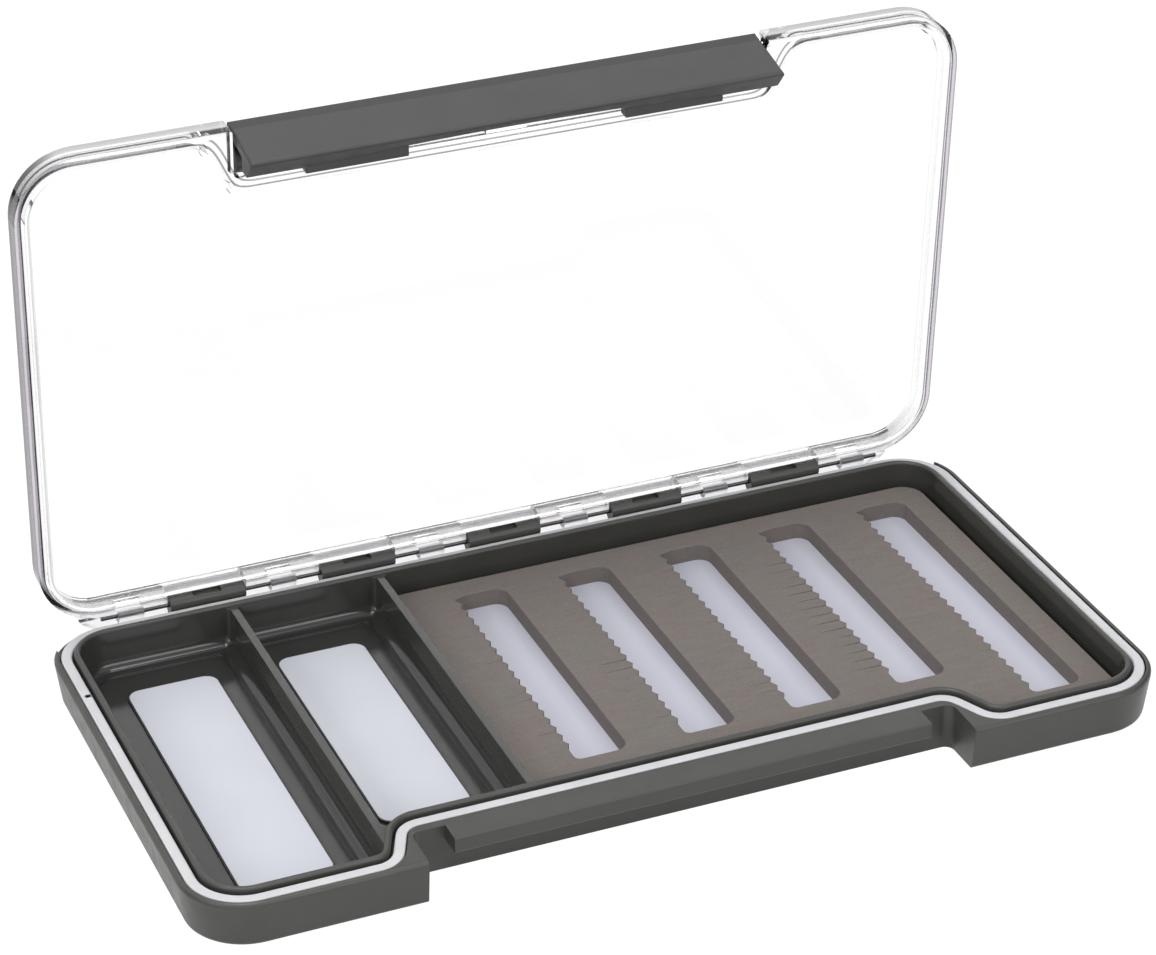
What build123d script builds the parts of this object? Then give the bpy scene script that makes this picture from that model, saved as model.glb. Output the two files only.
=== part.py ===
from build123d import *
import os
from math import cos, radians, sin, tan

# A slim fly box, in millimetres. X runs along the hinge, +Y goes from the latch to the hinge and +Z is
# up. The origin is on the underside, at mid-length, origin_from_front behind the tray's front face.

# ---- Tray ----
tray_length = 187.5
tray_depth = 98.05
origin_from_front = 50.0
wall_height = 9.0
outer_wall = 1.2
front_wall = 0.95
tray_corner_r = 12.0
side_draft = 0.9            # how far the long outer faces lean in from the top edge to the underside
end_draft = 1.15            # the same at the tray's two ends
bottom_edge_r = 0.8
top_edge_r = 0.8
soft_edge_r = 0.3           # small edges that a finger meets
floor_thickness = 0.9
ledge_height = 0.35         # rise of the ledge round each compartment's floor
ledge_width = 2.8
rim_height = 9.8            # top of the inner rim above the underside
rim_thickness = 1.2
rim_edge_r = 0.5
pocket_floor_r = 2.0
foam_pocket_floor_r = 0.7   # small enough for the foam to lie flat beside it
pocket_corner_r = 1.0
core_depth = 5.6            # channel in the underside between the outer wall and the rim
core_outer_wall = 1.5
core_inner_wall = 1.3

# ---- Latch recess and catch bar ----
lobe_length = 41.35         # from the tray's end to the recess
recess_depth = 9.45
recess_corner_r = 1.8
recess_wall = 1.75          # from the recess to the gasket groove
bar_end_gap = 6.4           # from the recess's side to the bar
bar_reach = 4.65
bar_top = 9.1
bar_thickness = 3.05

# ---- Gasket and its groove ----
gasket_width = 2.0
gasket_height = 2.0
gasket_edge_r = 0.35
gasket_hole_r = 0.45        # a moulding hole near the left rear corner
gasket_hole_y = 23.9
groove_clearance = 0.25     # outwards of the gasket
groove_inner_clearance = 0.5
groove_rear_clearance = 0.1 # inwards of the gasket along the hinge
bend_angle = 66.0           # slope of the S-bend beside the latch recess
bend_outer_r = 6.2
bend_inner_r = 3.0
bend_head_inset = 0.42      # upper corner of the S-bend, inwards of the recess's side
bend_least_r = 0.6

# ---- Dividers ----
divider_thickness = 1.5
divider_offset = 4.5        # first divider, outwards of the recess's left side
middle_pitch = 29.5         # from the first divider to the second

# ---- Magnet sheets, film and foam ----
magnet_thickness = 0.4
film_thickness = 0.12
film_margin = 0.32          # magnet that shows round the film
sheet_right_gaps = (6.3, 6.45)
sheet_corner_r = 2.8
sheet_rear_gap = 9.2        # from the rear rim to a sheet's rear end
sheet_left_gaps = (6.9, 3.8)     # from each narrow compartment's left wall
sheet_front_gaps = (9.4, 9.3)
sheet_clearance = 0.3
foam_thickness = 3.5
foam_gap = 0.35
foam_rear_gap = 1.55
foam_right_gap = 1.5
foam_corner_r = 4.5
slot_pitch = 21.53
last_slot_gap = 5.45        # from the last slot to the foam's right side
slot_width = 9.6            # from the right side to the teeth's tips
slot_room = 17.5            # foam that a slot needs on its left, its own width included
slot_rear_gap = 5.2         # foam left behind each slot
slot_front_gap = 10.0       # foam left in front of each slot
last_slot_front_gap = 7.65
slot_corner_r = 2.5
slot_tooth_corner_r = 1.2
slot_rear_bulge_r = 2.0
slot_point_width = 2.4      # how far the slot's rear left corner narrows to a point
tooth_pitch = 2.95
tooth_depth = 0.78
tooth_rear_margin = 2.85

# ---- Hinge ----
hinge_overhang = 0.2        # axis behind the tray's rear face
hinge_rise = 0.56           # axis above the tray's wall
hinge_pin_r = 0.5
hinge_pin_end_inset = 12.25 # from the tray's end to the pin's
pin_clearance = 0.03
knuckle_count = 5
outer_knuckle_inset = 5.68  # middle of the lid's outer knuckles, inwards of the pin's ends
knuckle_width = 14.95
knuckle_r = 1.65
knuckle_pocket_width = 5.6
knuckle_pocket_ahead = 1.0  # moulding pocket, in front of the axis
knuckle_pocket_behind = 1.1
knuckle_pocket_rise = 0.75  # its floor above the axis
gusset_drop = 3.9           # foot of the gusset below the axis
gusset_back_drop = 1.36     # lower end of its upright back below the axis
gusset_back_inset = 0.05    # its back, inwards of the barrel
rear_wall_drop = 1.4        # how much lower the outer wall is between the rear corners
ear_end_inset = 1.85        # from the tray's end to where the wall drops
lid_knuckle_width = 5.0
lid_knuckle_r = 1.45
knuckle_side_gap = 0.35
rest_opening = 86.2         # degrees that the lid stands open at rest

# ---- Lid ----
lid_end_inset = 0.9
lid_front_inset = 0.2
lid_corner_r = 12.0
lid_rise = 4.7              # outer face above the hinge axis
plate_thickness = 1.5
skirt_gap = 0.1             # above the tray's wall and the gasket
lid_edge_r = 0.8
skirt_inset = 0.85          # skirt's inner face, inwards from the groove's outer wall
ridge_inset = 1.55
ridge_width = 0.9
ridge_rear_shift = 0.4      # along the hinge the ridge stands nearer the rear wall
lid_recess_clearance = 0.6
lid_recess_setback = 0.3
lid_recess_corner_r = 0.8
lid_recess_edge_r = 0.5
rear_wall_back = 0.65       # lid's rear wall, in front of the hinge axis
flange_reach = 4.2
flange_thickness = 2.5
flange_end_inset = 7.25
flange_corner_r = 7.0
pad_width = 15.0
pad_depth = 5.0
pad_thickness = 0.35
pad_margin = 1.0            # from the flange's rear edge
pad_corner_r = 1.0

# ---- Latch ----
latch_side_gap = 0.5
latch_pivot_setback = 7.0   # pivot behind the tray's front face
latch_pivot_drop = 2.7      # pivot below the lid's outer face
latch_lean = 9.5            # degrees that the front plate leans in
latch_front_gap = 0.65      # top front corner behind the tray's front face
latch_plate = 1.9
latch_arm = 2.0
latch_bottom = 0.56
latch_edge_r = 0.6
lip_gap = 0.1               # below the catch bar
lip_reach = 3.9
lip_bevel_rise = 2.9
lip_arc_half = 41.0         # shallow arc that thins the lip between its ends
lip_arc_depth = 2.0
band_fraction = 0.2
band_step = 0.2
barrel_r = 2.1
arm_back = 1.6              # arm's rear top edge in front of the pivot
end_leg_r = 2.4
end_leg_width = 2.0
tab_centre = 31.0
tab_width = 19.5
tab_reach = 1.35
tab_thickness = 2.3
latch_pin_r = 0.8
latch_pin_end_inset = 1.3
running_clearance = 0.05
lug_count = 3
lug_pitch = 31.0
lug_width = 8.0
lug_r = 2.0
lug_side_gap = 0.4

# ---- Places that follow from the sizes ----
half_length = tray_length / 2
y_front = -origin_from_front
y_rear = y_front + tray_depth
y_recess = y_front + recess_depth
recess_half_width = half_length - lobe_length
bar_half_length = recess_half_width - bar_end_gap
groove_width = groove_clearance + gasket_width + groove_inner_clearance
rear_groove_narrowing = groove_inner_clearance - groove_rear_clearance
groove_half = half_length - outer_wall
groove_front = y_front + front_wall
groove_rear = y_rear - outer_wall
groove_recess = y_recess + recess_wall
rim_outer = groove_width
rim_inner = groove_width + rim_thickness
groove_floor = wall_height - gasket_height
ledge_level = floor_thickness + ledge_height
divider_centres = (-recess_half_width - divider_offset,
                   -recess_half_width - divider_offset + middle_pitch)
hinge_pin_half_length = half_length - hinge_pin_end_inset
knuckle_pitch = 2 * (hinge_pin_half_length - outer_knuckle_inset) / knuckle_count
ear_gap_half = half_length - ear_end_inset
flange_half_length = half_length - flange_end_inset
latch_half_length = recess_half_width - latch_side_gap
latch_pin_half_length = latch_half_length - latch_pin_end_inset
hinge_y = y_rear + hinge_overhang
hinge_z = wall_height + hinge_rise
lid_half = half_length - lid_end_inset
lid_top = hinge_z + lid_rise
lid_under = lid_top - plate_thickness
lid_bottom = wall_height + skirt_gap
lid_front = y_front + lid_front_inset
lid_recess_half = latch_half_length + lid_recess_clearance
lid_recess_y = y_recess + lid_recess_setback
lid_rear = hinge_y - rear_wall_back
pivot_y = y_front + latch_pivot_setback
pivot_z = lid_top - latch_pivot_drop
beyond = 5.0                # how far cutting tools run past what they cut
merge = 0.5                 # how far pieces of one solid run into each other


def outline(points, radii, level=0.0):
    """A closed face through the points, with each corner rounded."""
    return Pos(0, 0, level) * make_face(FilletPolyline(*points, radius=radii, close=True))


def rounded_rectangle(x_low, x_high, y_low, y_high, radius, level=0.0):
    corners = [(x_low, y_low), (x_high, y_low), (x_high, y_high), (x_low, y_high)]
    return outline(corners, [radius] * 4, level)


def block(x_low, x_high, y_low, y_high, z_low, z_high):
    size = (x_high - x_low, y_high - y_low, z_high - z_low)
    middle = ((x_low + x_high) / 2, (y_low + y_high) / 2, (z_low + z_high) / 2)
    return Pos(*middle) * Box(*size)


def rod(x_low, x_high, y, z, radius):
    """A cylinder along X."""
    return Pos((x_low + x_high) / 2, y, z) * Rot(0, 90, 0) * Cylinder(radius, x_high - x_low)


def side_profile(points, x_low, x_high):
    """A prism along X over a closed outline of (y, z) points."""
    face = make_face(Polyline(*[(x_low, y, z) for y, z in points], close=True))
    return extrude(face, amount=x_high - x_low, dir=(1, 0, 0))


def bend_points(inset):
    """Corners of the S-bend beside the recess, for a line that lies inset from the groove's wall."""
    spread = inset * tan(radians(bend_angle / 2))
    run = (groove_recess - groove_front) / tan(radians(bend_angle))
    inner_x = recess_half_width - bend_head_inset + spread
    return (inner_x + run, groove_front + inset), (inner_x, groove_recess + inset)


def bend_radii(inset):
    return max(bend_outer_r - inset, bend_least_r), bend_inner_r + inset


def ring_outline(inset, rear_shift=0.0, level=0.0):
    """The gasket's path round the tray, moved inwards by inset."""
    foot, head = bend_points(inset)
    foot_r, head_r = bend_radii(inset)
    side = groove_half - inset
    front = groove_front + inset
    rear = groove_rear - inset + rear_shift
    corner_r = tray_corner_r - outer_wall - inset
    points = [(-side, front), (-foot[0], foot[1]), (-head[0], head[1]), (head[0], head[1]),
              (foot[0], foot[1]), (side, front), (side, rear), (-side, rear)]
    radii = [corner_r, foot_r, head_r, head_r, foot_r, corner_r, corner_r, corner_r]
    return outline(points, radii, level)


def ring(inset, width, z_low, z_high, rear_shift=0.0, inner_rear_shift=0.0):
    outer = extrude(ring_outline(inset, rear_shift, z_low), amount=z_high - z_low)
    inner = extrude(ring_outline(inset + width, inner_rear_shift, z_low - beyond),
                    amount=z_high - z_low + 2 * beyond)
    return outer - inner


def knuckle_centres():
    return [(i - (knuckle_count - 1) / 2) * knuckle_pitch for i in range(knuckle_count)]


def lid_knuckle_centres():
    return [(i - knuckle_count / 2) * knuckle_pitch for i in range(knuckle_count + 1)]


def pocket_ranges():
    """The three compartments, from left to right, as ranges of x."""
    edge = groove_half - rim_inner
    stops = [-edge]
    for centre in divider_centres:
        stops += [centre - divider_thickness / 2, centre + divider_thickness / 2]
    stops.append(edge)
    return list(zip(stops[0::2], stops[1::2]))


def pocket_face(x_low, x_high, inset=0.0, radius=pocket_corner_r):
    """Plan of one compartment, inset from its walls."""
    inside = ring_outline(rim_inner + inset, rear_groove_narrowing)
    window = Pos((x_low + x_high) / 2, 0) * Rectangle(x_high - x_low - 2 * inset, 2 * tray_depth)
    face = inside & window
    return offset(offset(face, -radius), radius)


# ---- Tray ----
def tray_shell():
    foot = rounded_rectangle(-half_length + end_draft, half_length - end_draft,
                             y_front + side_draft, y_rear - side_draft, tray_corner_r - side_draft)
    top = rounded_rectangle(-half_length, half_length, y_front, y_rear, tray_corner_r, wall_height)
    shell = loft([foot.face(), top.face()], ruled=True)
    shell = fillet(shell.edges().group_by(Axis.Z)[0], bottom_edge_r)
    shell = fillet(shell.edges().group_by(Axis.Z)[-1], top_edge_r)
    recess = outline([(-recess_half_width, y_front - beyond), (recess_half_width, y_front - beyond),
                      (recess_half_width, y_recess), (-recess_half_width, y_recess)],
                     [0, 0, recess_corner_r, recess_corner_r], -beyond)
    return shell - extrude(recess, amount=wall_height + 2 * beyond)


def tray_pockets():
    tools = []
    floor_radii = (pocket_floor_r, pocket_floor_r, foam_pocket_floor_r)
    for (x_low, x_high), floor_r in zip(pocket_ranges(), floor_radii):
        tool = extrude(Pos(0, 0, ledge_level) * pocket_face(x_low, x_high), amount=rim_height)
        tool = fillet(tool.edges().group_by(Axis.Z)[0], floor_r)
        well = pocket_face(x_low, x_high, ledge_width)
        tools.append(tool)
        tools.append(extrude(Pos(0, 0, floor_thickness) * well, amount=ledge_height + merge))
    return tools


def tray_knuckles():
    pieces = []
    back = hinge_y + knuckle_r - gusset_back_inset
    front = groove_rear + groove_clearance
    foot = (y_rear - outer_wall / 2, hinge_z - gusset_drop)
    for x in knuckle_centres():
        x_low, x_high = x - knuckle_width / 2, x + knuckle_width / 2
        gusset = side_profile([(front, groove_floor), (front, hinge_z), (back, hinge_z),
                               (back, hinge_z - gusset_back_drop), foot], x_low, x_high)
        barrel = rod(x_low, x_high, hinge_y, hinge_z, knuckle_r)
        pocket = block(x - knuckle_pocket_width / 2, x + knuckle_pocket_width / 2,
                       hinge_y - knuckle_pocket_ahead, hinge_y + knuckle_pocket_behind,
                       hinge_z + knuckle_pocket_rise, hinge_z + beyond)
        pieces.append(barrel + gusset - pocket)
    return pieces


def make_tray():
    tray = tray_shell()
    rim = ring(rim_outer, rim_thickness, groove_floor - merge, rim_height,
               rear_groove_narrowing, rear_groove_narrowing)
    tray += fillet(rim.edges().group_by(Axis.Z)[-1], rim_edge_r)
    tray -= tray_pockets()
    low_wall = block(-ear_gap_half, ear_gap_half, y_rear - tray_corner_r, y_rear + beyond,
                     wall_height - rear_wall_drop, wall_height + beyond)
    tray -= low_wall - extrude(ring_outline(0), amount=wall_height + 2 * beyond)
    tray -= ring(core_outer_wall - outer_wall, rim_inner - core_inner_wall - core_outer_wall + outer_wall,
                 -beyond, core_depth, 0, rear_groove_narrowing)
    bar = block(-bar_half_length, bar_half_length, y_recess - bar_reach, y_recess + merge,
                bar_top - bar_thickness, bar_top)
    tray += fillet(bar.edges().filter_by(Axis.X).group_by(Axis.Y)[0], soft_edge_r)
    tray += tray_knuckles()
    tray -= ring(0, groove_width, groove_floor, wall_height + skirt_gap, 0, rear_groove_narrowing)
    return tray - rod(-half_length, half_length, hinge_y, hinge_z, hinge_pin_r + pin_clearance)


def make_gasket():
    gasket = ring(groove_clearance, gasket_width, groove_floor, wall_height)
    gasket = fillet(gasket.edges().group_by(Axis.Z)[-1], gasket_edge_r)
    hole_x = -groove_half + groove_clearance + gasket_width / 2
    return gasket - Pos(hole_x, gasket_hole_y, wall_height) * Cylinder(gasket_hole_r, gasket_height)


def make_hinge_pin():
    return rod(-hinge_pin_half_length, hinge_pin_half_length, hinge_y, hinge_z, hinge_pin_r)


# ---- Sheets and foam ----
def narrow_sheet(index, z_low, thickness, margin):
    x_low, x_high = pocket_ranges()[index]
    rear = groove_rear - rim_inner + rear_groove_narrowing - sheet_rear_gap
    rim_front = (groove_front, groove_recess)[index] + rim_inner
    face = rounded_rectangle(x_low + sheet_left_gaps[index] + margin,
                             x_high - sheet_right_gaps[index] - margin,
                             rim_front + sheet_front_gaps[index] + margin, rear - margin,
                             sheet_corner_r - margin, z_low)
    return extrude(face, amount=thickness)


def foam_sheet(z_low, thickness):
    x_low, x_high = pocket_ranges()[-1]
    face = pocket_face(x_low, x_high, ledge_width + sheet_clearance)
    return extrude(Pos(0, 0, z_low) * face, amount=thickness)


def foam_outline():
    inset = rim_inner + foam_gap
    foot, head = bend_points(inset)
    foot_r, head_r = bend_radii(inset)
    left = pocket_ranges()[-1][0] + foam_gap
    right = groove_half - rim_inner - foam_right_gap
    rear = foam_rear()
    points = [(left, head[1]), head, foot, (right, groove_front + inset), (right, rear), (left, rear)]
    return outline(points, [pocket_corner_r, head_r, foot_r, foam_corner_r, foam_corner_r,
                            pocket_corner_r])


def foam_slot(right, front):
    """One slot's plan: a smooth right side, and teeth all along the left side."""
    rear = foam_rear() - slot_rear_gap
    tip_x = right - slot_width
    valley_x = tip_x - tooth_depth
    tooth_count = int((rear - tooth_rear_margin - front) / tooth_pitch)
    teeth = []
    for i in range(tooth_count):
        tip_y = rear - tooth_rear_margin - i * tooth_pitch
        teeth.append((valley_x, tip_y + tooth_pitch / 2))
        teeth.append((tip_x, tip_y))
    last_valley = (valley_x, teeth[-1][1] - tooth_pitch / 2)
    points = [(right, front), (right, rear), (valley_x + slot_point_width, rear),
              (valley_x, rear - tooth_depth)] + teeth + [last_valley, (valley_x, front)]
    radii = [slot_corner_r, slot_corner_r, slot_rear_bulge_r, 0] + [0] * len(teeth)
    return outline(points, radii + [0, slot_tooth_corner_r])


def foam_rear():
    return groove_rear - rim_inner + rear_groove_narrowing - foam_rear_gap


def slot_places():
    """Right side and front end of every slot that fits, from the right to the left."""
    left = pocket_ranges()[-1][0] + foam_gap
    right = groove_half - rim_inner - foam_right_gap - last_slot_gap
    places = [(right, groove_front + rim_inner + last_slot_front_gap)]
    while right - slot_pitch - slot_room > left:
        right -= slot_pitch
        places.append((right, groove_recess + rim_inner + slot_front_gap))
    return places


def make_foam():
    face = foam_outline()
    for right, front in slot_places():
        face -= foam_slot(right, front)
    level = floor_thickness + magnet_thickness + film_thickness
    return extrude(Pos(0, 0, level) * face, amount=foam_thickness)


# ---- Lid, drawn closed ----
def lid_outline(level=0.0):
    points = [(-lid_half, lid_front), (-lid_recess_half, lid_front), (-lid_recess_half, lid_recess_y),
              (lid_recess_half, lid_recess_y), (lid_recess_half, lid_front), (lid_half, lid_front),
              (lid_half, lid_rear), (-lid_half, lid_rear)]
    radii = [lid_corner_r, lid_recess_edge_r, lid_recess_corner_r, lid_recess_corner_r, lid_recess_edge_r,
             lid_corner_r, lid_corner_r, lid_corner_r]
    return outline(points, radii, level)


def lid_knuckles():
    pieces = []
    for x in lid_knuckle_centres():
        x_low, x_high = x - lid_knuckle_width / 2, x + lid_knuckle_width / 2
        web = block(x_low, x_high, lid_rear - merge, hinge_y + lid_knuckle_r, hinge_z, lid_under + merge)
        pieces.append(rod(x_low, x_high, hinge_y, hinge_z, lid_knuckle_r) + web)
    return pieces


def lug_centres():
    return [(i - (lug_count - 1) / 2) * lug_pitch for i in range(lug_count)]


def lid_lugs():
    pieces = []
    for x in lug_centres():
        x_low, x_high = x - lug_width / 2, x + lug_width / 2
        web = block(x_low, x_high, pivot_y, lid_recess_y + merge, pivot_z - lug_r, pivot_z + lug_r)
        pieces.append(rod(x_low, x_high, pivot_y, pivot_z, lug_r) + web)
    return pieces


def make_lid():
    lid = extrude(lid_outline(lid_bottom), amount=lid_top - lid_bottom)
    lid = fillet(lid.edges().group_by(Axis.Z)[-1], lid_edge_r)
    lid -= extrude(ring_outline(skirt_inset, 0, lid_bottom - beyond), amount=lid_under - lid_bottom + beyond)
    lid += ring(ridge_inset, ridge_width, lid_bottom, lid_under + merge,
                ridge_rear_shift, ridge_rear_shift + rear_groove_narrowing)
    flange = rounded_rectangle(-flange_half_length, flange_half_length,
                               hinge_y - 3 * flange_corner_r, hinge_y + flange_reach, flange_corner_r,
                               lid_top - flange_thickness)
    flange = extrude(flange, amount=flange_thickness)
    lid += flange - block(-half_length, half_length, y_front, hinge_y + lid_knuckle_r,
                          0, lid_under) - extrude(ring_outline(skirt_inset), amount=lid_under)
    for x in knuckle_centres():
        reach = knuckle_width / 2 + knuckle_side_gap
        lid -= block(x - reach, x + reach, groove_rear - skirt_inset, hinge_y + lid_knuckle_r,
                     0, lid_under)
    lid += lid_knuckles()
    pad_rear = hinge_y + flange_reach - pad_margin
    for x in lid_knuckle_centres():
        pad = rounded_rectangle(x - pad_width / 2, x + pad_width / 2,
                                pad_rear - pad_depth, pad_rear, pad_corner_r, lid_top - merge)
        lid += extrude(pad, amount=pad_thickness + merge)
    lid += lid_lugs()
    lid -= rod(-half_length, half_length, hinge_y, hinge_z, hinge_pin_r + running_clearance)
    return lid - rod(-lid_recess_half, lid_recess_half, pivot_y, pivot_z, latch_pin_r + pin_clearance)


# ---- Latch, drawn closed ----
def latch_front_y(z):
    """The front plate's outer face at height z."""
    return y_front + latch_front_gap + (lid_top - z) * tan(radians(latch_lean))


def lip_arc(lip_y, lip_top):
    """What a shallow arc takes off the lip's inner edge, deepest at mid-length."""
    arc_r = (lip_arc_half ** 2 + lip_arc_depth ** 2) / (2 * lip_arc_depth)
    arc_y = lip_y - lip_arc_depth + arc_r
    height = lip_top - latch_bottom + 2 * beyond
    disc = Pos(0, arc_y, lip_top - height / 2) * Cylinder(arc_r, height)
    return disc & block(-lip_arc_half, lip_arc_half, lip_y - lip_arc_depth, lip_y + beyond,
                        latch_bottom - beyond, lip_top)


def make_latch():
    lip_top = bar_top - bar_thickness - lip_gap
    lip_y = latch_front_y(latch_bottom) + lip_reach
    plate = latch_plate / cos(radians(latch_lean))
    arm_z = lid_top - latch_arm
    band_z = lid_top - band_fraction * (lid_top - latch_bottom)
    points = [(latch_front_y(lid_top), lid_top),
              (latch_front_y(latch_bottom), latch_bottom),
              (lip_y, latch_bottom + lip_bevel_rise),
              (lip_y, lip_top),
              (latch_front_y(lip_top) + plate, lip_top),
              (latch_front_y(arm_z) + plate, arm_z),
              (pivot_y, arm_z),
              (pivot_y, pivot_z + latch_pin_r),
              (pivot_y - arm_back, lid_top)]
    latch = side_profile(points, -latch_half_length, latch_half_length)
    latch = fillet(latch.faces().sort_by(Axis.Y)[0].edges(), latch_edge_r)
    band = [(latch_front_y(lid_top + beyond) + band_step, lid_top + beyond),
            (latch_front_y(band_z) + band_step, band_z),
            (y_front - beyond, band_z), (y_front - beyond, lid_top + beyond)]
    latch -= side_profile(band, -half_length, half_length)
    latch -= lip_arc(lip_y, lip_top)
    latch += rod(-latch_half_length, latch_half_length, pivot_y, pivot_z, barrel_r)
    for side in (-1, 1):
        outer, inner = side * latch_half_length, side * (latch_half_length - end_leg_width)
        latch += rod(min(outer, inner), max(outer, inner), pivot_y, pivot_z, end_leg_r)
        latch += block(side * tab_centre - tab_width / 2, side * tab_centre + tab_width / 2,
                       lip_y - lip_arc_depth - merge, lip_y + tab_reach, lip_top - tab_thickness, lip_top)
    for x in lug_centres():
        reach = lug_width / 2 + lug_side_gap
        notch = block(x - reach, x + reach, pivot_y - lug_r - lug_side_gap, pivot_y + beyond,
                      pivot_z - beyond, lid_top + beyond)
        latch -= notch
    return latch - rod(-lid_recess_half, lid_recess_half, pivot_y, pivot_z, latch_pin_r + running_clearance)


def make_latch_pin():
    return rod(-latch_pin_half_length, latch_pin_half_length, pivot_y, pivot_z, latch_pin_r)


def opened(piece):
    """Turns a piece of the closed lid back to where the lid stands at rest."""
    axis_place = Pos(0, hinge_y, hinge_z)
    return axis_place * Rot(-rest_opening, 0, 0) * axis_place.inverse() * piece


# ---- Write every sub-part ----
film_level = floor_thickness + magnet_thickness
nodes = {
    "base_tray": make_tray(),
    "gasket": make_gasket(),
    "hinge_pin": make_hinge_pin(),
    "lid": opened(make_lid()),
    "latch": opened(make_latch()),
    "latch_pin": opened(make_latch_pin()),
    "foam_insert": make_foam(),
    "left_magnet_sheet": narrow_sheet(0, floor_thickness, magnet_thickness, 0),
    "left_white_film": narrow_sheet(0, film_level, film_thickness, film_margin),
    "middle_magnet_sheet": narrow_sheet(1, floor_thickness, magnet_thickness, 0),
    "middle_white_film": narrow_sheet(1, film_level, film_thickness, film_margin),
    "foam_magnet_sheet": foam_sheet(floor_thickness, magnet_thickness),
    "foam_white_film": foam_sheet(film_level, film_thickness),
}
os.makedirs("parts", exist_ok=True)
for name, shape in nodes.items():
    export_step(shape, f"parts/{name}.step")
print("hinge axis", hinge_y, hinge_z, "latch pivot closed", pivot_y, pivot_z)
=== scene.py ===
import math

import bmesh
import bpy
from mathutils import Matrix, Vector
from mathutils.geometry import tessellate_polygon


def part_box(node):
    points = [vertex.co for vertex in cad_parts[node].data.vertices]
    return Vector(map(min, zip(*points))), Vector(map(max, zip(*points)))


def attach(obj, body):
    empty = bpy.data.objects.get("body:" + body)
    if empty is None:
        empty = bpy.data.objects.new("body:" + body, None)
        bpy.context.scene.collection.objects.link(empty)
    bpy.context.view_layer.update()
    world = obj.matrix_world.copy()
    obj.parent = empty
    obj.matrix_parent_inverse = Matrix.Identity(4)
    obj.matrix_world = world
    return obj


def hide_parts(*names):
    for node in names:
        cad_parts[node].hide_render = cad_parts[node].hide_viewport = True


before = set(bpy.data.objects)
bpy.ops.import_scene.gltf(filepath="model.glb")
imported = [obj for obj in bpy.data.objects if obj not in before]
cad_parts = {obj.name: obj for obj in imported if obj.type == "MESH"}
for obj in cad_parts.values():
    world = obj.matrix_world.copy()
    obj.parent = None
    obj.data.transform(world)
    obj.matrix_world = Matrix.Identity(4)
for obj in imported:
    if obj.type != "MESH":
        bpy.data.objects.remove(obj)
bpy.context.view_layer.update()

MM = 0.001

# ---- Camera: the photograph's viewing angle, solved from the straight edges of tray and lid ----
CAMERA_PLACE = Vector((-227.92, -539.16, 372.67)) * MM
CAMERA_AZIMUTH = 22.563      # degrees that the camera looks to the right of +Y
CAMERA_ELEVATION = 29.105    # degrees that it looks down
CAMERA_ROLL = 0.380          # degrees
CAMERA_LENS = 115.55         # millimetres, as the sensor's width
SENSOR_WIDTH = 36.0
NEAREST, FARTHEST = 0.01, 20.0


def link_object(name, data):
    made = bpy.data.objects.new(name, data)
    bpy.context.scene.collection.objects.link(made)
    return made


def make_camera():
    data = bpy.data.cameras.new("camera")
    data.lens = CAMERA_LENS
    data.sensor_width = SENSOR_WIDTH
    data.clip_start = NEAREST
    data.clip_end = FARTHEST
    camera = link_object("camera", data)
    azimuth = math.radians(CAMERA_AZIMUTH)
    elevation = math.radians(CAMERA_ELEVATION)
    forward = Vector((math.sin(azimuth) * math.cos(elevation),
                      math.cos(azimuth) * math.cos(elevation),
                      -math.sin(elevation)))
    level_right = forward.cross(Vector((0, 0, 1))).normalized()
    right = Matrix.Rotation(math.radians(CAMERA_ROLL), 3, forward) @ level_right
    up = right.cross(forward)
    turn = Matrix((right, up, -forward)).transposed().to_4x4()
    camera.matrix_world = Matrix.Translation(CAMERA_PLACE) @ turn
    bpy.context.scene.camera = camera


# ---- Nodes ----
def grey(level):
    return (level, level, level, 1.0)


def srgb(red, green, blue):
    """A colour given as 8-bit sRGB, as the linear values that a shader takes."""
    def linear(value):
        value /= 255
        return value / 12.92 if value <= 0.04045 else ((value + 0.055) / 1.055) ** 2.4
    return (linear(red), linear(green), linear(blue), 1.0)


def see_through_shade(level, warm):
    """A see-through colour that lets a share of the light through, squared as a clear shader takes
    its root; the lid paints its rim's refraction shade with it.
    A warm one keeps less green and more red and blue."""
    return ((level * (1 + warm * 0.4)) ** 2, (level * (1 - warm)) ** 2,
            (level * (1 + warm)) ** 2, 1.0)


class Nodes:
    """The nodes of one tree."""

    def __init__(self, tree):
        self.tree = tree

    def node(self, kind, inputs=None, **attributes):
        made = self.tree.nodes.new(kind)
        for key, value in attributes.items():
            setattr(made, key, value)
        for key, value in (inputs or {}).items():
            if isinstance(value, bpy.types.NodeSocket):
                self.tree.links.new(value, made.inputs[key])
            else:
                made.inputs[key].default_value = value
        return made

    def number(self, operation, *values):
        inputs = dict(enumerate(values))
        return self.node("ShaderNodeMath", inputs, operation=operation).outputs[0]

    def plus(self, first, second):
        return self.number("ADD", first, second)

    def minus(self, first, second):
        return self.number("SUBTRACT", first, second)

    def times(self, first, second):
        return self.number("MULTIPLY", first, second)

    def most(self, first, second):
        return self.number("MAXIMUM", first, second)

    def below(self, first, second):
        return self.number("LESS_THAN", first, second)

    def above(self, first, second):
        return self.number("GREATER_THAN", first, second)

    def ramp(self, value, low, high, first=0.0, last=1.0):
        """From first to last as the value goes from low to high."""
        return self.node("ShaderNodeMapRange", {"Value": value, "From Min": low, "From Max": high,
                                                "To Min": first, "To Max": last}).outputs[0]

    def ease(self, share, first, last):
        """From first to last as the share goes from 0 to 1."""
        return self.ramp(share, 0.0, 1.0, first, last)

    def mix(self, share, first, second):
        """From the first colour to the second as the share goes from 0 to 1."""
        inputs = {0: share, 6: first, 7: second}
        return self.node("ShaderNodeMix", inputs, data_type="RGBA").outputs[2]


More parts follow.
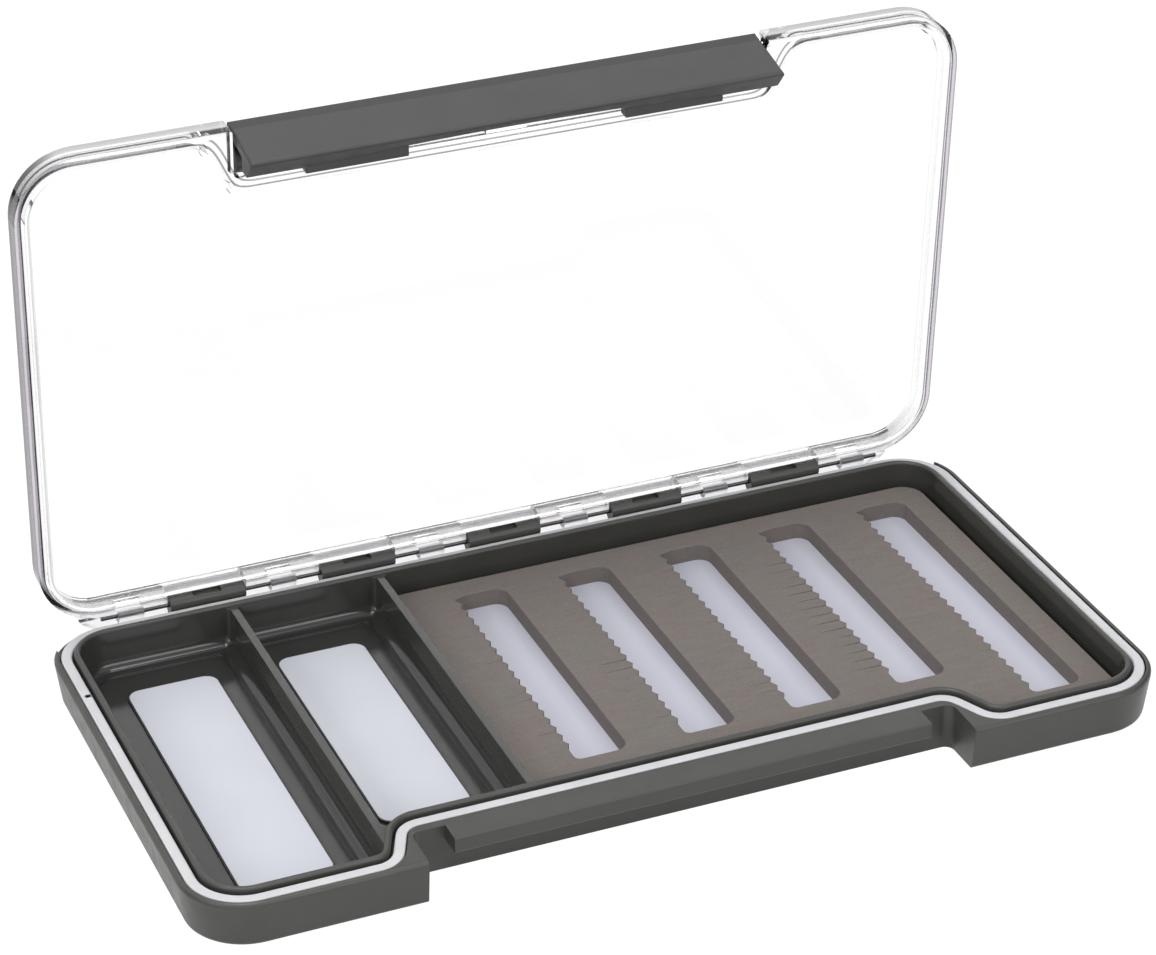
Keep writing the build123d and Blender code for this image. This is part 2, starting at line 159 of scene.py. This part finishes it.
NOISE_RANGE = (0.3, 0.7)     # the values that noise mostly keeps to


class Material(Nodes):
    """A node material with one Principled shader. Sizes and places are in millimetres."""

    def __init__(self, name, **settings):
        self.material = bpy.data.materials.new(name)
        self.material.use_nodes = True
        super().__init__(self.material.node_tree)
        self.shader = self.tree.nodes["Principled BSDF"]
        for key, value in settings.items():
            self.shader.inputs[key.replace("_", " ")].default_value = value

    def link(self, socket, name):
        self.tree.links.new(socket, self.shader.inputs[name])

    def place(self):
        return self.node("ShaderNodeTexCoord").outputs["Object"]

    def along(self, origin, direction):
        """How far the place lies from the origin along a direction."""
        away = self.node("ShaderNodeVectorMath", {0: self.place(), 1: origin * MM},
                         operation="SUBTRACT").outputs["Vector"]
        return self.node("ShaderNodeVectorMath", {0: away, 1: direction / MM},
                         operation="DOT_PRODUCT").outputs["Value"]

    def within(self, axis, low, high, soft=0.3):
        """1 where the place along an axis lies between low and high, else 0, over a soft edge."""
        value = self.node("ShaderNodeSeparateXYZ", {0: self.place()}).outputs[axis]
        past_low = self.ramp(value, (low - soft) * MM, (low + soft) * MM)
        before_high = self.ramp(value, (high + soft) * MM, (high - soft) * MM)
        return self.times(past_low, before_high)

    def noise(self, size, detail=2.0, roughness=0.5, stretch=(1, 1, 1)):
        """Noise with features about as wide as size."""
        mapping = self.node("ShaderNodeMapping", {"Vector": self.place(), "Scale": stretch})
        return self.node("ShaderNodeTexNoise", {
            "Vector": mapping.outputs[0], "Scale": 1 / (size * MM),
            "Detail": detail, "Roughness": roughness}).outputs[0]

    def spread(self, noise, first=0.0, last=1.0):
        """Noise spread from first to last."""
        return self.ramp(noise, *NOISE_RANGE, first, last)

    def bands(self, value, stops):
        """A see-through shade by value, straight between the stops, which are (value, level, warm);
        the lid paints its rim's refraction shade with it.
        """
        low, high = stops[0][0], stops[-1][0]
        made = self.node("ShaderNodeValToRGB", {0: self.ramp(value, low, high)})
        elements = made.color_ramp.elements
        elements[0].color = see_through_shade(*stops[0][1:])
        elements[-1].color = see_through_shade(*stops[-1][1:])
        for stop, level, warm in stops[1:-1]:
            elements.new((stop - low) / (high - low)).color = see_through_shade(level, warm)
        return made.outputs[0]

    def soft_edges(self, radius):
        """A normal that rounds every edge by the radius."""
        return self.node("ShaderNodeBevel", {"Radius": radius * MM}, samples=6).outputs[0]

    def bump(self, height, depth, strength=1.0, normal=None):
        """Bump that is depth high at full value."""
        inputs = {"Height": height, "Distance": depth * MM, "Strength": strength}
        if normal is not None:
            inputs["Normal"] = normal
        return self.node("ShaderNodeBump", inputs).outputs[0]


# ---- Moulded plastics ----
def moulded_plastic(name, colour, darker, roughness, edge, polished=None):
    """Moulded plastic with a fine satin skin, faint flow marks and a slightly uneven gloss."""
    made = Material(name, Roughness=roughness, IOR=1.46)
    made.shade = made.mix(made.spread(made.noise(9.0, 3.0)), darker, colour)
    made.link(made.shade, "Base Color")
    made.satin = made.spread(made.noise(3.0, 3.0), roughness - 0.05, roughness + 0.05)
    made.link(made.satin, "Roughness")
    strength = 1.0 if polished is None else made.minus(1.0, polished(made))
    grain = made.bump(made.noise(0.16, 2.0, 0.6), 0.005, strength, made.soft_edges(edge))
    made.link(made.bump(made.noise(14.0, 2.0), 0.05, 1.0, grain), "Normal")
    return made


# The polished inside of the tray: it reaches forwards on both sides of the latch's recess
INSIDE_HALF = 89.2
INSIDE_REAR = 44.0
INSIDE_FRONT = -45.6
INSIDE_RECESS_FRONT = -35.4
INSIDE_RECESS_HALF = 58.0
INSIDE_TOP = 9.2
# heights over which the compartments' floor is darkened with painted shade
SHADED_FLOOR_LOW, SHADED_FLOOR_HIGH, SHADED_FLOOR_SOFT = -1.0, 2.8, 0.5
POLISHED_ROUGHNESS = 0.13


def compartments(made):
    """1 inside the tray and 0 outside."""
    def block(low, high, front):
        return made.times(made.within(0, low, high), made.within(1, front, INSIDE_REAR))

    middle = block(-INSIDE_HALF, INSIDE_HALF, INSIDE_RECESS_FRONT)
    left = block(-INSIDE_HALF, -INSIDE_RECESS_HALF, INSIDE_FRONT)
    right = block(INSIDE_RECESS_HALF, INSIDE_HALF, INSIDE_FRONT)
    plan = made.most(middle, made.most(left, right))
    return made.times(plan, made.within(2, 0.0, INSIDE_TOP))


def tray_moulding():
    """The tray's plastic, satin outside and polished in the compartments, with painted shade
    darkening the compartments' floor.
    """
    made = moulded_plastic("tray_plastic", srgb(69, 69, 66), srgb(65, 65, 62), 0.40, 0.18,
                           compartments)
    inside = compartments(made)
    inputs = {0: inside, 2: made.satin, 3: POLISHED_ROUGHNESS}
    made.link(made.node("ShaderNodeMix", inputs).outputs[0], "Roughness")
    # painted shade: the compartments' floor is darkened, for the shade at the bottom of the deep
    # compartments
    floor = made.times(inside, made.within(2, SHADED_FLOOR_LOW, SHADED_FLOOR_HIGH, SHADED_FLOOR_SOFT))
    made.link(made.mix(floor, made.shade, srgb(50, 50, 49)), "Base Color")
    return made.material


# painted shade: the band along the latch's top is darkened
LATCH_SHADED_BAND = (43.76, 60.0)   # y of the band along the latch's top


def latch_moulding():
    """The latch's plastic, with painted shade darkening the band along its top."""
    made = moulded_plastic("latch_plastic", srgb(67, 67, 68), srgb(63, 63, 64), 0.42, 0.3)
    # painted shade on the band along the top
    shaded_band = made.within(1, *LATCH_SHADED_BAND, 0.1)
    made.link(made.mix(shaded_band, made.shade, srgb(54, 54, 55)), "Base Color")
    return made.material


# ---- The clear lid ----
# Its own frame, in millimetres from the hinge's axis: x across, length along the lid, and depth
# from the inside to the outside
LID_HINGE = Vector((0, 48.25, 9.56))
LID_OPENING = math.radians(86.2)
LID_ACROSS = Vector((1, 0, 0))
LID_OUTWARDS = Vector((0, math.sin(LID_OPENING), math.cos(LID_OPENING)))
LID_ALONG = Vector((0, -math.cos(LID_OPENING), math.sin(LID_OPENING)))
LID_HALF = 92.85
LID_REAR, LID_FRONT = 0.65, 98.0
LID_CORNER = 12.0
LID_LIP = -0.36              # the skirt's edge, which faces the tray, is the lip below this depth
# the tints below are painted refraction shade and reflections, which draw the dark lines and grey
# bands of the lid's thick clear rim
LID_RIM = 0.7                # how far inwards the tints of the outer faces reach
RIM_SLACK = -0.3             # how far past its edge the rim still counts
RIM_WAVE = 0.06              # how far the lines of the rim wander
SIDE_BLEND = (0.25, 0.95)    # at a corner, where the front's lines give way to the side's
# The S-bend beside the recess: its slanted line, the recess's line and the front's line
BEND_SLOPE = math.radians(66)
BEND_HEAD_X, BEND_HEAD_LENGTH = 51.98, 87.05
BEND_FOOT_LENGTH = 97.30
BEND_HEAD_ROUNDING, BEND_FOOT_ROUNDING = 3.7, 5.2
BEND_END = 63.0
RECESS_START = 84.0
FRONT_STRIP = 1.0
# a strip along the lid's hinge edge that gets painted shade: its length and share
HINGE_SIDE, HINGE_SIDE_SHARE = 1.6, 0.4
FROST_Y, FROST_Z = (46.4, 51.0), (6.0, 11.25)
# the front edge's faces let less light through over these depths, so that their painted shade shows
# as a grey band
FRONT_EDGE_DEPTH = (1.0, 1.8)
FRONT_EDGE_TRANSMISSION = 0.35
# Painted refraction shade and reflections, as tints of (place, share of the light let through,
# warmth), the outer faces by depth
LEFT_FACE = ((-0.5, 0.03, 0), (0.2, 0.04, 0.2), (0.6, 0.12, 0.1), (3.4, 0.10, 0.1),
             (3.9, 0.26, 0.06), (4.7, 0.5, 0.03))
RIGHT_FACE = ((-0.5, 0.9, 0), (0.5, 0.9, 0), (0.7, 0.25, 0.05), (1.1, 0.25, 0.05), (1.3, 0.95, 0),
              (4.7, 1.0, 0))
FRONT_FACE = ((-0.5, 0.75, 0.02), (0.6, 0.95, 0), (1.2, 0.6, 0.03), (1.6, 0.95, 0), (3.0, 0.85, 0),
              (4.7, 0.8, 0.02))
# and the lip by how far inwards it lies
LEFT_LIP = ((0.0, 0.62, 0.04), (0.35, 0.65, 0.04), (0.5, 0.33, 0.04), (0.8, 0.36, 0.04),
            (0.95, 0.05, 0), (1.15, 0.06, 0), (1.3, 0.9, 0), (2.1, 1.0, 0), (2.3, 0.6, 0),
            (2.6, 0.8, 0), (2.9, 0.6, 0), (3.2, 1.0, 0))
RIGHT_LIP = ((0.0, 0.4, 0.03), (0.25, 0.42, 0.03), (0.4, 0.66, 0.03), (0.75, 0.62, 0.04),
             (0.9, 0.26, 0.08), (1.3, 0.24, 0.08), (1.5, 0.9, 0), (2.9, 1.0, 0), (3.05, 0.6, 0),
             (3.2, 1.0, 0))
FRONT_LIP = ((0.0, 0.55, 0.03), (0.2, 0.9, 0), (1.1, 1.0, 0), (1.3, 0.5, 0.03), (1.5, 1.0, 0),
             (3.2, 1.0, 0))
# and the lip round the recess by how far it lies outside the S-bend's path
RECESS_LIP = ((-3.0, 1.0, 0), (-0.82, 1.0, 0), (-0.68, 0.3, 0.02), (-0.46, 0.3, 0.02),
              (-0.3, 0.95, 0), (0.3, 0.95, 0), (0.45, 0.35, 0.02), (0.68, 0.35, 0.02),
              (0.85, 1.0, 0), (3.0, 1.0, 0))


class LidPlace:
    """Where a point of the lid lies, as numbers in its material."""

    def __init__(self, made):
        self.made = made
        self.across = made.along(Vector(), LID_ACROSS)
        self.aside = made.number("ABSOLUTE", self.across)
        self.depth = made.along(LID_HINGE, LID_OUTWARDS)
        self.length = made.along(LID_HINGE, LID_ALONG)
        self.on_right = made.above(self.across, 0.0)
        self.on_lip = made.below(self.depth, LID_LIP)
        self.measure_rim()

    def measure_rim(self):
        """How far inwards of the outline the place lies, and how much its edge faces sideways."""
        made = self.made
        middle, half = (LID_REAR + LID_FRONT) / 2, (LID_FRONT - LID_REAR) / 2
        to_side = made.most(made.minus(self.aside, LID_HALF - LID_CORNER), 0.0)
        from_middle = made.number("ABSOLUTE", made.minus(self.length, middle))
        to_end = made.most(made.minus(from_middle, half - LID_CORNER), 0.0)
        squares = made.plus(made.times(to_side, to_side), made.times(to_end, to_end))
        reach = made.number("SQRT", squares)
        wave = made.spread(made.noise(5.0, 2.0, 0.5, (1, 1, 0.5)), -RIM_WAVE, RIM_WAVE)
        self.inwards = made.plus(made.minus(LID_CORNER, reach), wave)
        sideways = made.number("DIVIDE", to_side, made.most(reach, 0.01))
        self.sideways = made.ramp(sideways, *SIDE_BLEND)
        self.in_rim = made.above(self.inwards, RIM_SLACK)
        on_edge = made.times(made.below(self.inwards, LID_RIM), self.in_rim)
        self.on_face = made.times(on_edge, made.minus(1.0, self.on_lip))

    def beyond_bend(self):
        """How far outside the S-bend's path the place lies."""
        made = self.made
        beyond_recess = made.minus(self.length, BEND_HEAD_LENGTH)
        apart = made.minus(BEND_HEAD_X, self.aside)
        beyond_slope = made.plus(made.times(apart, math.sin(BEND_SLOPE)),
                                 made.times(beyond_recess, math.cos(BEND_SLOPE)))
        beyond = made.number("SMOOTH_MIN", beyond_recess, beyond_slope, BEND_HEAD_ROUNDING)
        beyond_front = made.minus(self.length, BEND_FOOT_LENGTH)
        return made.number("SMOOTH_MAX", beyond, beyond_front, BEND_FOOT_ROUNDING)

    def along_recess(self):
        """1 on the lip round the recess and its S-bends, but not on the lid's front strip."""
        made = self.made
        share = made.times(self.on_lip, made.below(self.aside, BEND_END))
        share = made.times(share, made.above(self.length, RECESS_START))
        front_strip = made.above(self.length, LID_FRONT - FRONT_STRIP)
        return made.times(share, made.minus(1.0, front_strip))

    def painted_rim_shade(self, value, left, right, front):
        """The painted refraction shade by value, as the left, right or front side has it."""
        made = self.made
        side = made.mix(self.on_right, made.bands(value, left), made.bands(value, right))
        return made.mix(self.sideways, made.bands(value, front), side)


def clear_plastic():
    """Polished clear plastic, frosted on the hinge knuckles, with painted refraction shade and
    reflections that draw the dark lines and grey bands of its thick rim.
    """
    made = Material("clear_plastic", Roughness=0.015, IOR=1.50)
    lid = LidPlace(made)
    # painted refraction shade: the rim's dark lines and grey bands are painted as tints by side,
    # depth and place
    face = lid.painted_rim_shade(lid.depth, LEFT_FACE, RIGHT_FACE, FRONT_FACE)
    lip = lid.painted_rim_shade(lid.inwards, LEFT_LIP, RIGHT_LIP, FRONT_LIP)
    colour = made.mix(lid.on_face, grey(1.0), face)
    colour = made.mix(made.times(lid.on_lip, lid.in_rim), colour, lip)
    colour = made.mix(lid.along_recess(), colour, made.bands(lid.beyond_bend(), RECESS_LIP))
    # painted shade along the hinge edge
    painted_hinge_shade = made.times(made.below(lid.length, HINGE_SIDE), HINGE_SIDE_SHARE)
    colour = made.mix(painted_hinge_shade, colour, see_through_shade(0.85, 0.02))
    frost = made.times(made.within(1, *FROST_Y, 0.1), made.within(2, *FROST_Z, 0.1))
    made.link(made.mix(frost, colour, (0.96, 0.95, 0.97, 1.0)), "Base Color")
    made.link(made.ease(frost, 0.015, 0.30), "Roughness")
    # painted shade: the front edge lets less light through, so that its painted tint shows as a
    # grey band
    painted_front_edge = made.times(lid.on_face, made.ramp(lid.depth, *FRONT_EDGE_DEPTH))
    painted_front_edge = made.times(painted_front_edge, made.minus(1.0, lid.sideways))
    made.link(made.ease(painted_front_edge, 1.0, FRONT_EDGE_TRANSMISSION), "Transmission Weight")
    made.link(made.bump(made.noise(22.0, 1.0), 0.02), "Normal")
    return made.material


# ---- Gasket, pins, foam, magnets and films ----
# painted shade: the gasket's small hole is painted black, for the shade inside it
PIN_HOLE = (-91.0, 23.9)     # the small hole in the gasket
PIN_HOLE_R = 0.5


def silicone():
    made = Material("silicone", Roughness=0.5, IOR=1.40,
                    Subsurface_Weight=0.15, Subsurface_Scale=0.001)
    shade = made.mix(made.spread(made.noise(6.0)), srgb(207, 208, 211), srgb(216, 217, 219))
    hole_shade_sides = [made.within(axis, PIN_HOLE[axis] - PIN_HOLE_R, PIN_HOLE[axis] + PIN_HOLE_R, 0.08)
             for axis in (0, 1)]
    # painted shade: black where the hole lies
    made.link(made.mix(made.times(*hole_shade_sides), shade, grey(0.01)), "Base Color")
    made.link(made.bump(made.noise(0.3, 2.0), 0.006), "Normal")
    return made.material


def steel():
    made = Material("pin_steel", Base_Color=(0.085, 0.08, 0.08, 1.0), Metallic=1.0, Roughness=0.28)
    drawn = made.noise(0.08, 2.0, 0.6, (0.02, 1, 1))
    made.link(made.spread(drawn, 0.2, 0.36), "Roughness")
    made.link(made.bump(drawn, 0.004), "Normal")
    return made.material


def foam_skin():
    """Closed-cell foam: tiny cells, faint sliced streaks along X and a slightly uneven tint."""
    made = Material("foam", Roughness=0.95, IOR=1.30, Specular_IOR_Level=0.15)
    cells = made.noise(0.28, 3.0, 0.7)
    streaks = made.noise(0.9, 2.0, 0.5, (0.25, 1, 1))
    both = made.number("MULTIPLY_ADD", cells, 0.75, made.times(streaks, 0.25))
    shade = made.mix(made.spread(made.noise(7.0)), srgb(127, 118, 115), srgb(123, 119, 115))
    dimming = made.mix(made.spread(both), grey(0.84), grey(1.16))
    made.link(made.node("ShaderNodeMix", {0: 1.0, 6: shade, 7: dimming}, data_type="RGBA",
                        blend_type="MULTIPLY").outputs[2], "Base Color")
    fine = made.bump(cells, 0.035, 0.7)
    made.link(made.bump(streaks, 0.02, 0.4, fine), "Normal")
    return made.material


def magnet_rubber():
    made = Material("magnet", Roughness=0.55)
    shade = made.mix(made.spread(made.noise(0.4, 3.0)), srgb(26, 26, 27), srgb(38, 38, 39))
    made.link(shade, "Base Color")
    made.link(made.bump(made.noise(0.25), 0.01), "Normal")
    return made.material


def film(name, low, high):
    made = Material(name, Roughness=0.35, IOR=1.45)
    made.link(made.mix(made.spread(made.noise(20.0, 1.0)), low, high), "Base Color")
    made.link(made.bump(made.noise(30.0, 1.0), 0.08), "Normal")
    return made.material


MATERIALS = {
    "base_tray": tray_moulding(),
    "latch": latch_moulding(),
    "lid": clear_plastic(),
    "gasket": silicone(),
    "hinge_pin": steel(),
    "foam_insert": foam_skin(),
    "left_magnet_sheet": magnet_rubber(),
    "left_white_film": film("white_film", srgb(211, 213, 222), srgb(216, 218, 227)),
    # painted shade: the film under the foam is darker, for the shade that falls in the foam's slots
    "foam_white_film": film("film_in_painted_shade", srgb(197, 198, 211), srgb(201, 202, 214)),
}
MATERIALS["latch_pin"] = MATERIALS["hinge_pin"]
MATERIALS["middle_magnet_sheet"] = MATERIALS["left_magnet_sheet"]
MATERIALS["foam_magnet_sheet"] = MATERIALS["left_magnet_sheet"]
MATERIALS["middle_white_film"] = MATERIALS["left_white_film"]


def paint(piece, material):
    piece.data.materials.clear()
    piece.data.materials.append(material)


# ---- Foam insert: its solid's plan, in millimetres, with rounded lips and knife slits ----
FOAM_LOW, FOAM_HIGH = (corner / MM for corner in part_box("foam_insert"))
FOAM_RECESS_FRONT = -34.5
FOAM_BEND_HEAD, FOAM_BEND_FOOT = 54.77, 59.34    # x of the S-bend's two corners
FOAM_BEND_HEAD_R, FOAM_BEND_FOOT_R = 7.3, 1.9
FOAM_RIGHT_R, FOAM_LEFT_R = 4.5, 1.0
SLOT_PLACES = ((-4.47, -24.85), (17.06, -24.85), (38.59, -24.85), (60.12, -24.85), (81.65, -37.45))
SLOT_WIDTH = 9.6
SLOT_REAR = FOAM_HIGH.y - 5.2
SLOT_RIGHT_R, SLOT_FRONT_R, SLOT_REAR_R = 2.5, 1.2, 2.0
TOOTH_PITCH = 2.95
TOOTH_DEPTH = 0.78
TOOTH_REAR_MARGIN = 2.85
POINT_WIDTH = 2.4
LIP = 0.22
LIP_STEPS = (0.3, 0.65, 1.0)
# Knife slits by slot: valley counted from the rear, length and how open it is from 0 to 1
SLITS = (
    {8: (4.0, 0.25), 13: (3.5, 0.2), 17: (4.5, 0.2)},
    {3: (3.0, 0.15), 11: (6.2, 0.8), 12: (6.0, 0.7), 18: (3.5, 0.2)},
    {2: (4.0, 0.2), 9: (3.0, 0.15), 15: (4.0, 0.2), 17: (4.5, 0.3), 18: (3.5, 0.25)},
    {4: (5.0, 0.4), 5: (5.8, 0.7), 6: (2.5, 0.4), 7: (5.4, 0.9), 8: (6.0, 1.0), 9: (4.6, 0.9),
     10: (6.0, 1.0), 11: (5.6, 0.9), 12: (6.0, 1.0), 13: (5.8, 1.0), 14: (2.6, 0.6), 15: (4.4, 0.8),
     16: (4.8, 0.7), 17: (5.0, 0.9), 18: (5.4, 0.8)},
    {5: (3.0, 0.15), 12: (3.5, 0.2), 19: (3.0, 0.2)},
)
SLIT_LEAST_GAP, SLIT_GAP = 0.03, 0.10      # half the width of a shut slit, and what opening adds
SLIT_WAIST = 0.6                           # where its waist lies along it, and the waist's width
SLIT_SLANT = 0.05
# Share of the lip's rounding at a slit's mouth, waist and end: least, and what opening adds
MOUTH_LIP, WAIST_LIP, END_LIP = (0.1, 0.3), (0.08, 0.15), 0.05


def rounded(corners, steps=6):
    """A closed outline of (point, share of the lip) from corners of (x, y, radius, share)."""
    made = []
    count = len(corners)
    for i, (x, y, radius, share) in enumerate(corners):
        corner = Vector((x, y))
        if radius == 0:
            made.append((corner, share))
            continue
        before = (Vector(corners[i - 1][:2]) - corner).normalized()
        after = (Vector(corners[(i + 1) % count][:2]) - corner).normalized()
        half = before.angle(after) / 2
        centre = corner + (before + after).normalized() * radius / math.sin(half)
        start = corner + before * radius / math.tan(half)
        end = corner + after * radius / math.tan(half)
        turn = (start - centre).angle_signed(end - centre)
        for step in range(steps + 1):
            spoke = (start - centre).copy()
            spoke.rotate(Matrix.Rotation(-turn * step / steps, 2))
            made.append((centre + spoke, share))
    return made


def inward(outline, distance):
    """The outline's points moved into the material, which lies on its left."""
    moved = []
    count = len(outline)
    for i, (point, share) in enumerate(outline):
        before = (point - outline[i - 1][0]).normalized()
        after = (outline[(i + 1) % count][0] - point).normalized()
        normal = Vector((-before.y, before.x)) + Vector((-after.y, after.x))
        if normal.length < 0.1:
            normal = before
        normal.normalize()
        reach = max(normal.dot(Vector((-before.y, before.x))), 0.5)
        moved.append(point + normal * distance * share / reach)
    return moved


def wall_rings(bm, outline, levels):
    """Walls through the outline at each level, which is (z, inset), and their rings of points."""
    rings = [[bm.verts.new((p.x * MM, p.y * MM, z * MM)) for p in inward(outline, inset)]
             for z, inset in levels]
    for lower, upper in zip(rings, rings[1:]):
        for i in range(len(lower)):
            j = (i + 1) % len(lower)
            bm.faces.new((lower[i], lower[j], upper[j], upper[i]))
    return rings


def solid_from(loops, z_low, z_high, lip, name):
    """A slab of the given outlines, outer one first, whose top edges are rounded by lip."""
    bm = bmesh.new()
    levels = [(z_low, 0.0), (z_high - lip, 0.0)]
    for step in LIP_STEPS:
        angle = step * math.pi / 2
        levels.append((z_high - lip * (1 - math.sin(angle)), lip * (1 - math.cos(angle))))
    rings = [wall_rings(bm, outline, levels) for outline in loops]
    for level, flip in ((0, True), (-1, False)):
        verts = [vert for loop in rings for vert in loop[level]]
        flat = [[Vector((v.co.x, v.co.y, 0)) for v in loop[level]] for loop in rings]
        for a, b, c in tessellate_polygon(flat):
            face = (verts[a], verts[b], verts[c])
            bm.faces.new(face[::-1] if flip else face)
    bmesh.ops.recalc_face_normals(bm, faces=bm.faces)
    mesh = bpy.data.meshes.new(name)
    bm.to_mesh(mesh)
    bm.free()
    return link_object(name, mesh)


def slit_corners(x, y, length, opened):
    """A knife slit that runs to the left from a valley at (x, y)."""
    gap = SLIT_LEAST_GAP + SLIT_GAP * opened
    waist_x, waist_gap = x - length * SLIT_WAIST, gap * SLIT_WAIST
    mouth = MOUTH_LIP[0] + MOUTH_LIP[1] * opened
    waist = WAIST_LIP[0] + WAIST_LIP[1] * opened
    return [(x, y - gap, 0, mouth), (waist_x, y - waist_gap + SLIT_SLANT, 0, waist),
            (x - length, y, 0, END_LIP),
            (waist_x, y + waist_gap + SLIT_SLANT, 0, waist), (x, y + gap, 0, mouth)]


def slot_outline(right, front, slits):
    tip_x = right - SLOT_WIDTH
    valley_x = tip_x - TOOTH_DEPTH
    first_tip = SLOT_REAR - TOOTH_REAR_MARGIN
    count = int((first_tip - front) / TOOTH_PITCH)
    tips = [first_tip - i * TOOTH_PITCH for i in range(count)]
    corners = [(right, SLOT_REAR, SLOT_RIGHT_R, 1), (right, front, SLOT_RIGHT_R, 1),
               (valley_x, front, SLOT_FRONT_R, 1), (valley_x, tips[-1] - TOOTH_PITCH / 2, 0, 1)]
    for i in reversed(range(count)):
        corners.append((tip_x, tips[i], 0, 1))
        y = tips[i] + TOOTH_PITCH / 2
        corners += slit_corners(valley_x, y, *slits[i]) if i in slits else [(valley_x, y, 0, 1)]
    corners += [(valley_x, SLOT_REAR - TOOTH_DEPTH, 0, 1),
                (valley_x + POINT_WIDTH, SLOT_REAR, SLOT_REAR_R, 1)]
    return rounded(corners)


def foam_outline():
    left, front = FOAM_LOW.x, FOAM_LOW.y
    right, rear = FOAM_HIGH.x, FOAM_HIGH.y
    return rounded([(left, FOAM_RECESS_FRONT, FOAM_LEFT_R, 1),
                    (FOAM_BEND_HEAD, FOAM_RECESS_FRONT, FOAM_BEND_HEAD_R, 1),
                    (FOAM_BEND_FOOT, front, FOAM_BEND_FOOT_R, 1),
                    (right, front, FOAM_RIGHT_R, 1), (right, rear, FOAM_RIGHT_R, 1),
                    (left, rear, FOAM_LEFT_R, 1)])


def make_foam():
    loops = [foam_outline()]
    for (right, front), slits in zip(SLOT_PLACES, SLITS):
        loops.append(slot_outline(right, front, slits))
    foam = solid_from(loops, FOAM_LOW.z, FOAM_HIGH.z, LIP, "foam_insert_soft")
    paint(foam, MATERIALS["foam_insert"])
    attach(foam, "tray")
    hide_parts("foam_insert")


# ---- Floor and light ----
BACKGROUND = grey(1.11)
SIDES = (0.10, 0.09, 0.12, 1.0)
DARK_FLOOR = (0.30, 0.55)    # metres from the middle to the left and right, where the dark begins
DARK_WORLD = (0.62, 0.80)    # and the sideways share of a direction
FLOOR_HALF = 3.0
FLOOR_LEVEL = -0.00005       # just below the tray's flat bottom
FLOOR_SHADE = grey(0.85)
FLOOR_GLOW = 0.9             # share of the glow, so that a little shadow stays
WORLD_LIGHT = 0.42


def background(nodes, sideways):
    """The share of the rays that see the background, and its colour. It is white straight ahead,
    in a gloss and through clear plastic, and dark where a polished edge bends the view sideways."""
    path = nodes.node("ShaderNodeLightPath").outputs
    bent = nodes.most(path["Is Glossy Ray"], path["Is Transmission Ray"])
    seen = nodes.most(path["Is Camera Ray"], bent)
    direct = nodes.below(path["Diffuse Depth"], 0.5)
    dark = nodes.times(sideways, bent)
    return nodes.times(seen, direct), nodes.mix(dark, BACKGROUND, SIDES)


def sideways_ramp(nodes, vector, limits):
    """0 to 1 as a vector's sideways part goes from the one limit to the other."""
    across = nodes.node("ShaderNodeSeparateXYZ", {0: vector}).outputs[0]
    return nodes.ramp(nodes.number("ABSOLUTE", across), *limits)


def mix_shaders(nodes, share, first, second, output):
    mixed = nodes.node("ShaderNodeMixShader", {0: share, 1: first.outputs[0], 2: second.outputs[0]})
    nodes.node(output, {0: mixed.outputs[0]})


def make_floor():
    mesh = bpy.data.meshes.new("floor")
    corners = [(x * FLOOR_HALF, y * FLOOR_HALF, FLOOR_LEVEL)
               for x, y in ((-1, -1), (1, -1), (1, 1), (-1, 1))]
    mesh.from_pydata(corners, [], [(0, 1, 2, 3)])
    floor = link_object("floor", mesh)
    material = bpy.data.materials.new("floor")
    material.use_nodes = True
    nodes = Nodes(material.node_tree)
    nodes.tree.nodes.clear()
    diffuse = nodes.node("ShaderNodeBsdfDiffuse", {"Color": FLOOR_SHADE})
    position = nodes.node("ShaderNodeNewGeometry").outputs["Position"]
    share, colour = background(nodes, sideways_ramp(nodes, position, DARK_FLOOR))
    glow = nodes.node("ShaderNodeEmission", {"Color": colour, "Strength": 1.0})
    mix_shaders(nodes, nodes.times(share, FLOOR_GLOW), diffuse, glow, "ShaderNodeOutputMaterial")
    mesh.materials.append(material)


def make_world():
    world = bpy.data.worlds.new("studio")
    bpy.context.scene.world = world
    world.use_nodes = True
    nodes = Nodes(world.node_tree)
    nodes.tree.nodes.clear()
    light = nodes.node("ShaderNodeBackground", {"Color": grey(1.0), "Strength": WORLD_LIGHT})
    direction = nodes.node("ShaderNodeTexCoord").outputs["Generated"]
    share, colour = background(nodes, sideways_ramp(nodes, direction, DARK_WORLD))
    seen = nodes.node("ShaderNodeBackground", {"Color": colour, "Strength": 1.0})
    mix_shaders(nodes, share, light, seen, "ShaderNodeOutputWorld")


# Softboxes as (name, place, aim, size, power), in metres and watts
SOFTBOXES = (
    ("overhead_softbox", (-0.1, -0.05, 0.9), (0, 0, 0), (0.6, 0.4), 4.4),
    ("left_softbox", (-0.8, -0.3, 0.55), (0, 0, 0.03), (0.45, 0.35), 2.3),
    ("front_fill", (0.3, -0.9, 0.45), (0, 0, 0.03), (0.5, 0.35), 2.0),
)


def make_lights():
    for name, place, aim, size, power in SOFTBOXES:
        data = bpy.data.lights.new(name, "AREA")
        data.shape = "RECTANGLE"
        data.size, data.size_y = size
        data.energy = power
        light = link_object(name, data)
        light.location = place
        light.rotation_mode = "QUATERNION"
        light.rotation_quaternion = (Vector(aim) - Vector(place)).to_track_quat("-Z", "Y")


for name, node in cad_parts.items():
    paint(node, MATERIALS[name])
make_foam()
make_floor()
make_world()
make_lights()
make_camera()
bpy.context.scene.view_settings.view_transform = "Standard"
